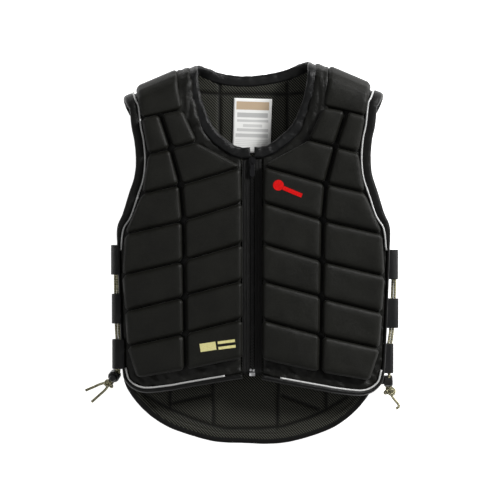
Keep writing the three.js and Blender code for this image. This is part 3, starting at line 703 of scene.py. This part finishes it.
# The cloth ripples everywhere, and stands full in lengthwise folds between shoulder pad and neck
def rippled(co, normal):
    look = panelLook
    slow = noise.noise(Vector((co.x * 0.6, co.y, co.z * 0.6)) * look["rippleScale"])
    quick = noise.noise(co * look["fineScale"])
    outward = Vector((0, co.y - look["bendAt"][0], co.z - look["bendAt"][1])).normalized()
    outer = eased(normal.dot(outward), 0, 0.5)
    beside = abs(co.x - vestShift.x)
    full = eased(co.y, *look["fullFrom"]) * (1 - eased(beside, *look["padEdge"])) * outer
    across, along = look["foldScale"]
    folds = noise.noise(Vector((co.x * across, (co.y - co.z) * along, 5.7)))
    across, slant, along = look["hemScale"]
    wrinkle = noise.noise(Vector((co.x * across + co.y * slant, co.y * along, 2.2)))
    hem = eased(-co.y, *look["hemFrom"]) * wrinkle
    drape = slow * look["ripple"] + quick * look["fine"] + hem * look["hem"] - look["settled"]
    return (drape + full * (look["full"] + folds * look["folds"])) * mm


def makePanels():
    look = panelLook
    for name in sides:
        panel = softCopy(f"frontPanel_{name}", [f"front_{name}_panel"], look["voxel"] * mm, look["rounds"])
        pushed(panel, rippled)
        dressed(panel, baseCloth, [f"front_{name}_panel"])


makePanels()

print("back panel")
backLook = {"voxel": 2.3, "rounds": 4, "channel": 2.6, "width": 2.6, "sewnFacing": 0.3, "liningFacing": 0.2,
            "wider": {"left": 0.095, "right": 0.03}, "lower": 4, "tailFrom": (0.13, 0.22), "lowerOver": 0.06}
# Sewn channels of the lining, in millimetres of the vest
channels = [
    [(-126.6, -151.2), (-126.6, -242.7)], [(-60.4, -151.2), (-60.4, -267.2)],
    [(43.9, -151.2), (38.2, -272.7)], [(114.9, -151.2), (114.9, -241.2)],
    [(-126.6, -234.4), (-61.0, -219.3)], [(46.4, -221.1), (103.2, -242.7)],
    [(-171.2, -216.1), (-149.7, -229.3), (-126.6, -242.7), (-92.7, -257.8), (-65.0, -266.9), (-41.0, -272.7),
     (10.5, -272.7), (47.5, -269.2), (87.5, -256.2), (114.9, -242.7), (147.5, -223.2)],
    [(-50.4, 58.8), (-50.4, 260.8)], [(54.5, 58.8), (54.5, 260.8)],
    [(-102.5, 249.3), (-50.4, 244.8), (54.5, 244.8), (102.5, 249.3)],
]


def nearChannel(co):
    nearest = 1
    here = Vector((co.x, co.y)) - vestShift.xy
    for line in channels:
        for a, b in zip(line, line[1:]):
            start = Vector(a) * mm
            run = Vector(b) * mm - start
            share = min(1, max(0, (here - start).dot(run) / run.length_squared))
            nearest = min(nearest, (here - start - run * share).length)
    return nearest


# The lining's paler slanted dashes: radians per metre along x and y, and how strongly they show
dashLook = {"slant": (1450, 1450), "cross": (1500, -1300), "contrast": 1.3, "cut": 0.25}


def makeLiningMaterial():
    material = clothMaterial("meshLining", (0.0006, 0.0007, 0.0005), (0.0022, 0.0023, 0.0017), threads=640.0,
                             Roughness=0.6, Specular_IOR_Level=0.15)
    tree = material.node_tree
    surface = tree.nodes["Principled BSDF"]
    place = node(tree, "ShaderNodeTexCoord")
    x, y, _ = partsOf(tree, place.outputs["Object"])
    slant, cross = [maths(tree, "SINE", plus(tree, times(tree, x, perX), times(tree, y, perY)))
                    for perX, perY in (dashLook["slant"], dashLook["cross"])]
    dash = times(tree, plus(tree, slant, 0.1), plus(tree, times(tree, cross, 0.3), 0.9))
    mask = maths(tree, "SUBTRACT", times(tree, dash, dashLook["contrast"]), dashLook["cut"])
    tint = node(tree, "ShaderNodeMix", data_type="RGBA", clamp_factor=True)
    tint.inputs[7].default_value = (0.085, 0.086, 0.068, 1)
    old = surface.inputs["Base Color"].links[0].from_socket
    # In the sewn channels the pale dashes are left out, so the grooves show dark: painted shade in the
    # channels
    seam = node(tree, "ShaderNodeAttribute", attribute_name="channel")
    shown = times(tree, mask, maths(tree, "SUBTRACT", 1, seam.outputs["Fac"]))
    tree.links.new(old, tint.inputs[6])
    tree.links.new(shown, tint.inputs[0])
    tree.links.new(tint.outputs[2], surface.inputs["Base Color"])
    return material


meshLining = makeLiningMaterial()


# The tail lies spread out, more so at the left
def spreadTail(piece):
    look = backLook
    for vertex in piece.data.vertices:
        co = vertex.co
        down = eased(-co.y, *look["tailFrom"])
        out = co.x - vestShift.x
        co.x += out * down * look["wider"]["left" if out < 0 else "right"]
        co.y -= look["lower"] * mm * down * eased(-out, 0, look["lowerOver"])
    piece.data.update()


def makeBack():
    look = backLook
    back = softCopy("backPanel", ["back_panel"], look["voxel"] * mm, look["rounds"])
    spreadTail(back)
    mesh = back.data
    normals = [v.normal.copy() for v in mesh.vertices]
    depths = []
    for vertex, normal in zip(mesh.vertices, normals):
        sewn = normal.z > look["sewnFacing"]
        depth = math.exp(-(nearChannel(vertex.co) / (look["width"] * mm)) ** 2) if sewn else 0
        depths.append(depth)
        vertex.co -= normal * look["channel"] * mm * depth
    # The channel depths are kept as an attribute; the lining material darkens the grooves with it, as painted
    # shade
    channel = mesh.attributes.new("channel", "FLOAT", "POINT")
    channel.data.foreach_set("value", depths)
    dressed(back, meshLining, ["back_panel"])
    mesh.materials.append(shellCloth)
    for face in mesh.polygons:
        face.material_index = 0 if face.normal.z > look["liningFacing"] else 1


makeBack()

print("bindings and piping")
bindingLook = {"step": 2.0, "lap": 3.2, "pipedLap": 1.4, "pucker": 0.45, "neckPucker": 1.5, "wave": 0.11,
               "fineWave": 2.6, "fineShare": 0.45, "seam": 0.63, "under": 0.35, "turn": 1.9, "turnShare": 0.3,
               "tailBelow": -0.1, "innerSpots": 9, "pipeRadius": 1.5, "pipeIn": 2.3, "pipeUp": 7.9,
               "armFrom": 12, "hemRun": (2, 10), "hemEnd": 0.4}


# Outline of a tape folded round the edge, its fullness varying along the seam
def foldedTape(lap, pucker):
    wall, crown = vest["wall"], vest["crown"]
    look = bindingLook

    def outline(band, along):
        turn = min(look["turn"], band * look["turnShare"])
        section = [(-lap, wall + 0.5), (-lap + 0.7, wall + 1.6), (0.4, crown + 0.1),
                   (band * look["seam"], crown + 0.5), (band - turn, crown), (band - turn / 4, crown - 1.6),
                   (band, crown * 0.5), (band - turn / 5, 1.3), (band - turn, -0.2),
                   (band * look["under"], -0.7), (0, -0.5), (-lap, -0.2)]
        puckered = []
        for i, (out, up) in enumerate(section):
            full = noise.noise(Vector((along * look["wave"], i * 0.45, band * 0.1 + lap)))
            fine = noise.noise(Vector((along * look["wave"] * look["fineWave"], i * 0.7, 3.1)))
            puff = (full + look["fineShare"] * fine) * pucker
            puckered.append((out + puff * 0.5, up + puff * (1 if up > wall / 2 else -0.5)))
        return puckered
    return outline


def pipeOutline(band, along):
    look = bindingLook
    return [(-look["pipeIn"] + look["pipeRadius"] * math.cos(math.pi * i / 5),
             look["pipeUp"] + look["pipeRadius"] * math.sin(math.pi * i / 5)) for i in range(10)]


def frontPath(side):
    hem = [onFront(side, hemStart[0] + (frontEdge[0][0] - hemStart[0]) * i / 6,
                   hemStart[1] + (frontEdge[0][1] - hemStart[1]) * i / 6, frontEdge[0][2]) for i in range(6)]
    wraps = [onBend(side, x, wrap, wideBand) for x, wrap in frontEdgeWraps]
    return hem + [onFront(side, *spot) for spot in frontEdge] + wraps


# The shoulder line has a corner in it, so smoothing is done before the fold is allowed for
def backPath():
    reach, length = vest["halfWidth"], vest["halfLength"]
    half = [[Vector((side * x * reach, y * length, band)) for x, y, band in tailEdge] for side in (-1, 1)]
    tail = smoothPath(half[0][::-1] + [Vector((0, tailMiddle * length, wideBand))] + half[1], 24)
    tail = [onBack(1, p.x / reach, p.y / length, p.z) for p in tail]
    ends = [[onBend(side, x, wrap, wideBand) for x, wrap in tailEdgeWraps] for side in (-1, 1)]
    return ends[0][::-1] + tail + ends[1]


def neckPath():
    half = []
    for side in (-1, 1):
        front = [onFront(side, x, y, neckBand) for x, y in neckEdge]
        front = smoothPath(front + [onBend(side, *neckWraps[0], neckBand)], 18)
        wraps = smoothPath([Vector((x, wrap, 0)) for x, wrap in neckWraps], 18)
        half.append(front + [onBend(side, p.x, p.y, neckBand) for p in wraps[1:]])
    return half[0] + half[1][:-1][::-1]


def makeBindings():
    look = bindingLook
    piped = foldedTape(look["pipedLap"], look["pucker"])
    for name, side in sides.items():
        path = evenPath(frontPath(side), look["step"])
        band = sewnAlong(f"edgeBinding_{name}", path, piped, side)
        dressed(band, bindingCloth, [f"edge_binding_{name}"])
    tape = foldedTape(look["lap"], look["pucker"])
    tail = sewnAlong("backBinding", evenPath(backPath(), look["step"]), tape, -1)
    spreadTail(tail)
    dressed(tail, bindingCloth, ["back_binding"])
    tail.data.materials.append(meshLining)
    spots = [given.value for given in tail.data.attributes["spot"].data]
    for face in tail.data.polygons:
        if face.center.y < look["tailBelow"] and all(spots[k] >= look["innerSpots"] for k in face.vertices):
            face.material_index = 1
    tape = foldedTape(look["lap"], look["neckPucker"])
    neck = sewnAlong("neckBinding", evenPath(neckPath(), look["step"]), tape, 1)
    dressed(neck, shadedNeckCloth, ["neck_binding"])


# Piping shows along the hem and round the armhole; down the side the webbing is sewn over it
def makePiping():
    look = bindingLook
    silver = clothMaterial("reflectivePiping", (0.42, 0.42, 0.42), (0.62, 0.62, 0.61), threads=1500.0,
                           grain=1400.0, Roughness=0.42, Metallic=0.25, Specular_IOR_Level=0.6)
    for name, side in sides.items():
        path = frontPath(side)
        arm = evenPath(path[look["armFrom"]:], look["step"])
        arm = sewnAlong(f"armPiping_{name}", arm, pipeOutline, side)
        dressed(arm, silver, [f"piping_{name}"])
        first, last = look["hemRun"]
        hemEnd = path[first - 1].lerp(path[first], look["hemEnd"])
        hem = evenPath([hemEnd, *path[first:last]], look["step"])
        hem = sewnAlong(f"hemPiping_{name}", hem, pipeOutline, side)
        dressed(hem, silver)


makeBindings()
makePiping()

print("webbing sleeves")
sleeveLook = {
    "tops": (0.027, -0.227, -0.463), "length": 46, "webbing": 1.8, "seat": 0.45, "across": 30, "down": 20,
    "shift": 3.6, "foot": 187, "sink": 6, "overNose": 208, "overRise": 11.7, "topAbove": 12,
    "left": {"over": True, "shapes": ((217.5, 202.5), (216.5, 201.5), (216, 196))},
    "right": {"over": False, "shapes": ((225.3, 187), (226, 187), (218.4, 187))},
}


# A strap of webbing from the front edge, round the cord and back under onto the back panel
def makeSleeve(name, side, index):
    look = sleeveLook
    over = look[name]["over"]
    reach, root = look[name]["shapes"][index]
    low = vest["thickness"] + look["seat"]
    shape = bmesh.new()
    bmesh.ops.create_grid(shape, x_segments=look["across"], y_segments=look["down"], size=0.5)
    for vertex in shape.verts:
        u, w = vertex.co.x + 0.5, vertex.co.y + 0.5
        y = look["tops"][index] * vest["halfLength"] - side * look["shift"] - look["length"] * (1 - w)
        lining = y / (1 - vest["spread"])
        rise = look["overRise"] if over else -2 * look["seat"]
        tall = (frontLining(vest["halfWidth"] if over else reach, lining) + rise - low) / 2
        noseX = look["overNose"] if over else reach - tall
        rootZ = frontLining(root if over else root + look["sink"], lining) + rise
        upper, lower = noseX - root, noseX - look["foot"]
        nose = math.pi * (tall + reach - noseX) / 2
        along = u * (upper + nose + lower)
        if along < upper:
            x, z = root + along, rootZ + (low + 2 * tall - rootZ) * along / upper
        elif along < upper + nose:
            angle = math.pi / 2 - math.pi * (along - upper) / nose
            x, z = noseX + (reach - noseX) * math.cos(angle), low + tall + tall * math.sin(angle)
        else:
            x, z = noseX - (along - upper - nose), low
        vertex.co = toFrame((side * x, y, z))
    bmesh.ops.recalc_face_normals(shape, faces=shape.faces)
    piece = asObject(f"sleeve_{name}_{index + 1}", shape)
    top = [face for face in piece.data.polygons if face.center.z > (low + look["topAbove"]) * mm]
    facing = sum(face.normal.z * face.area for face in top)
    thickened(piece, look["webbing"] * mm, -1 if facing > 0 else 1)
    finer(smoothShaded(piece))
    dressed(piece, webbingCloth, [f"side_sleeve_{name}_{index + 1}"])


for name, side in sides.items():
    for index in range(len(sleeveLook["tops"])):
        makeSleeve(name, side, index)

print("zip")
zipLook = {"pitch": 2.3, "tooth": (2.9, 1.25, 2.2), "apart": 1.25, "lift": 0.6, "margin": 2, "edge": 0.3,
           "ribs": 5, "ribHeight": 0.9, "across": 27, "down": 60, "stopEdge": 0.4, "stopSunk": 0.2}
# Stops and end box: the chain's end, x, y from that end, width, length, height
zipStops = [("high", 0, -3.4, 3.2, 3.2, 1.0), ("low", -2.2, 7.8, 3, 3.2, 3), ("low", 2.2, 7.2, 3, 3.2, 3),
            ("low", 0, 1.4, 8.8, 5.2, 3)]


def makeTeeth():
    look = zipLook
    low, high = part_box("zip_chain")
    middle = (low.x + high.x) / 2
    height = low.z + (look["lift"] + look["tooth"][2] / 2) * mm
    margin, pitch = look["margin"] * mm, look["pitch"] * mm
    shape = bmesh.new()
    for i in range(int((high.y - low.y - 2 * margin) / pitch)):
        for side in (-1, 1):
            y = high.y - margin - (i + 0.5 * (side > 0)) * pitch
            addBox(shape, Vector(look["tooth"]) * mm, (middle + side * look["apart"] * mm, y, height))
    rounded(shape, look["edge"] * mm, 1)
    return dressed(asObject("zipTeeth", shape), zipPlastic, ["zip_chain"])


def makeTapes():
    look = zipLook
    for name, side in sides.items():
        low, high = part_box(f"zip_tape_{name}")
        shape = bmesh.new()
        bmesh.ops.create_cube(shape, size=1)
        lengthwise = [e for e in shape.edges if abs(e.verts[0].co.x - e.verts[1].co.x) > 0.5]
        bmesh.ops.subdivide_edges(shape, edges=lengthwise, cuts=look["across"], use_grid_fill=True)
        down = [e for e in shape.edges if abs(e.verts[0].co.y - e.verts[1].co.y) > 0.5]
        bmesh.ops.subdivide_edges(shape, edges=down, cuts=look["down"], use_grid_fill=True)
        for vertex in shape.verts:
            u = (vertex.co.x + 0.5) if side > 0 else (0.5 - vertex.co.x)
            rib = max(0, math.cos(2 * math.pi * look["ribs"] * u)) ** 2 if vertex.co.z > 0 else 0
            x, y, z = [a + (b - a) * (c + 0.5) for a, b, c in zip(low, high, vertex.co)]
            vertex.co = (x, y, z + look["ribHeight"] * mm * rib)
        dressed(smoothShaded(asObject(f"zipTape_{name}", shape)), tapeCloth, [f"zip_tape_{name}"])


def plasticMaterial(name, colour, grain=900.0, bump=0.12, **shader):
    material = newMaterial(name, **shader)
    tree = material.node_tree
    surface = tree.nodes["Principled BSDF"]
    rough = node(tree, "ShaderNodeTexNoise", in_2=grain, in_3=3.0)
    placeOnObject(tree, rough.inputs["Vector"])
    tint = node(tree, "ShaderNodeMix", data_type="RGBA")
    tint.inputs[6].default_value = (*colour, 1)
    tint.inputs[7].default_value = (*[c * 1.6 + 0.002 for c in colour], 1)
    tree.links.new(rough.outputs[0], tint.inputs[0])
    tree.links.new(tint.outputs[2], surface.inputs["Base Color"])
    addRelief(tree, rough.outputs[0], bump, 0.0002)
    return material


zipPlastic = plasticMaterial("zipPlastic", (0.009, 0.009, 0.009), Roughness=0.35)
lockPlastic = plasticMaterial("lockPlastic", (0.010, 0.010, 0.010), grain=1500.0, bump=0.1,
                              Roughness=0.2)
zipMetal = plasticMaterial("zipMetal", (0.005, 0.005, 0.006), grain=400.0, Roughness=0.16, Metallic=0.2)
brightMetal = plasticMaterial("brightMetal", (0.55, 0.55, 0.56), grain=500.0, Roughness=0.28, Metallic=1.0)


def finishNode(name, material):
    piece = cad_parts[name]
    piece.data.materials.clear()
    piece.data.materials.append(material)


makeTeeth()
makeTapes()
for name in sides:
    finishNode(f"cord_lock_{name}", lockPlastic)
    finishNode(f"lock_button_{name}", lockPlastic)
finishNode("zip_slider", zipMetal)
finishNode("zip_pull", zipMetal)


# Bright stops at both ends of the chain, and the box the chain ends in
def makeStops():
    low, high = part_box("zip_chain")
    middle = (low.x + high.x) / 2
    shape = bmesh.new()
    for end, x, y, width, length, height in zipStops:
        start = high.y if end == "high" else low.y
        at = (middle + x * mm, start + y * mm, high.z - zipLook["stopSunk"] * mm)
        addBox(shape, Vector((width, length, height)) * mm, at)
    rounded(shape, zipLook["stopEdge"] * mm, 3)
    dressed(smoothShaded(asObject("zipStops", shape)), brightMetal)


makeStops()

print("plain shapes sewn on the pads")
# Bars are width, height, x, y and turn
patchLook = {"thick": 0.35, "above": 0.1, "dropFrom": 120, "disc": 8.2, "rings": 3, "ringWidth": 1.9,
             "at": (39.9, 102.5), "bar": (31, 6.4, 61.5, 92.5, -0.4),
             "bars": [(24.5, 12.5, -67.5, -144.0, 0.15), (26.5, 4.2, -39.5, -136.2, 0.13),
                      (26.5, 4.2, -38.4, -144.6, 0.13)]}


# Lays a flat shape down on whichever pad lies under it
def laidOnPads(name, shape, material):
    meshes = [pad.data for pad in pads]
    trees = [BVHTree.FromPolygons([v.co for v in mesh.vertices], [f.vertices for f in mesh.polygons])
             for mesh in meshes]
    for vertex in shape.verts:
        start = toFrame((vertex.co.x, vertex.co.y, patchLook["dropFrom"]))
        hits = [tree.ray_cast(start, (0, 0, -1))[0] for tree in trees]
        heights = [hit.z for hit in hits if hit]
        vertex.co = Vector((start.x, start.y, max(heights) + patchLook["above"] * mm))
    bmesh.ops.recalc_face_normals(shape, faces=shape.faces)
    piece = thickened(asObject(name, shape), patchLook["thick"] * mm, 1)
    return dressed(piece, material)


def addBar(shape, width, height, x, y, turn):
    made = bmesh.ops.create_grid(shape, x_segments=14, y_segments=4, size=0.5)["verts"]
    bmesh.ops.scale(shape, verts=made, vec=(width, height, 1))
    bmesh.ops.rotate(shape, verts=made, cent=(0, 0, 0), matrix=Matrix.Rotation(turn, 3, "Z"))
    bmesh.ops.translate(shape, verts=made, vec=(x, y, 0))


def makePatches():
    look = patchLook
    red = clothMaterial("redStitch", (0.5, 0.002, 0.002), (0.78, 0.008, 0.008), threads=1500.0,
                        Roughness=0.6, Specular_IOR_Level=0.1)
    yellow = clothMaterial("yellowPrint", (0.62, 0.57, 0.22), (0.82, 0.76, 0.36), threads=1500.0,
                           Roughness=0.6)
    shape = bmesh.new()
    bmesh.ops.create_circle(shape, segments=28, radius=look["disc"], cap_ends=True)
    for _ in range(look["rings"]):
        inner = max(shape.faces, key=lambda face: len(face.verts))
        bmesh.ops.inset_region(shape, faces=[inner], thickness=look["ringWidth"])
    bmesh.ops.translate(shape, verts=shape.verts, vec=(*look["at"], 0))
    laidOnPads("chestDisc", shape, red)
    shape = bmesh.new()
    addBar(shape, *look["bar"])
    laidOnPads("chestBar", shape, red)
    shape = bmesh.new()
    for bar in look["bars"]:
        addBar(shape, *bar)
    laidOnPads("hemBars", shape, yellow)


makePatches()

print("label")
labelLook = {"width": 59, "length": 84, "thick": 0.4, "y": 196, "above": 1.1, "tilt": -0.03, "across": 20,
             "down": 28, "curl": 1.6, "sideCurl": 0.5, "endCurl": 0.4}

# Plain bars across the label: left, right, low and high shares, colour and strength
tan, grey = (0.50, 0.38, 0.26), (0.36, 0.36, 0.36)
labelBars = [(0.07, 0.93, 0.79, 0.94, tan, 1.0), (0.1, 0.9, 0.65, 0.735, grey, 0.75),
             (0.1, 0.92, 0.565, 0.61, grey, 0.55), (0.26, 0.76, 0.47, 0.525, grey, 0.45),
             (0.1, 0.92, 0.39, 0.445, grey, 0.55), (0.07, 0.92, 0.285, 0.35, grey, 0.6)]
labelBars += [(0.07, 0.92, 0.05 + 0.035 * i, 0.062 + 0.035 * i, grey, 0.35) for i in range(6)]


def makeLabelMaterial():
    material = newMaterial("labelCloth", Roughness=0.75, Specular_IOR_Level=0.25)
    tree = material.node_tree
    surface = tree.nodes["Principled BSDF"]
    flat = node(tree, "ShaderNodeUVMap", uv_map="labelPlan")
    u, v, _ = partsOf(tree, flat.outputs[0])

    def band(value, low, high):
        above = maths(tree, "GREATER_THAN", value, low)
        return times(tree, above, maths(tree, "LESS_THAN", value, high))

    last = (0.86, 0.86, 0.84, 1)
    for left, right, low, high, colour, strength in labelBars:
        mask = times(tree, band(u, left, right), band(v, low, high))
        tint = node(tree, "ShaderNodeMix", data_type="RGBA")
        tree.links.new(times(tree, mask, strength), tint.inputs[0])
        if isinstance(last, tuple):
            tint.inputs[6].default_value = last
        else:
            tree.links.new(last, tint.inputs[6])
        tint.inputs[7].default_value = (*colour, 1)
        last = tint.outputs[2]
    tree.links.new(last, surface.inputs["Base Color"])
    weave = node(tree, "ShaderNodeGroup", node_tree=clothGroup)
    weave.inputs["Threads"].default_value = 2200.0
    placeOnObject(tree, weave.inputs["Vector"])
    addRelief(tree, weave.outputs["Height"], 0.2, 0.0001)
    return material


def makeLabel():
    look = labelLook
    shape = bmesh.new()
    bmesh.ops.create_grid(shape, x_segments=look["across"], y_segments=look["down"], size=0.5)
    uv = shape.loops.layers.uv.new("labelPlan")
    for face in shape.faces:
        for loop in face.loops:
            loop[uv].uv = (loop.vert.co.x + 0.5, loop.vert.co.y + 0.5)
    turn = Matrix.Rotation(look["tilt"], 3, "Z")
    for vertex in shape.verts:
        u, v = vertex.co.x, vertex.co.y
        lift = look["curl"] * (abs(2 * u) ** 3 * look["sideCurl"] + max(0, -2 * v) ** 2 * look["endCurl"])
        flat = turn @ Vector((u * look["width"], v * look["length"], 0))
        vertex.co = toFrame((flat.x, look["y"] + flat.y, vest["thickness"] + look["above"] + lift))
    piece = smoothShaded(thickened(asObject("neckLabel", shape), look["thick"] * mm, -1))
    dressed(piece, makeLabelMaterial(), ["label"])


makeLabel()

print("floor")
floorLook = {"size": 12, "colour": (0.92, 0.92, 0.92, 1), "glow": 0.9}


def makeFloor():
    shape = bmesh.new()
    bmesh.ops.create_grid(shape, x_segments=1, y_segments=1, size=floorLook["size"] / 2)
    floor = asObject("floor", shape)
    floor.data.materials.append(newMaterial("paleFloor", Base_Color=floorLook["colour"], Roughness=0.9,
                                            Specular_IOR_Level=0.1, Emission_Color=(1, 1, 1, 1),
                                            Emission_Strength=floorLook["glow"]))


makeFloor()
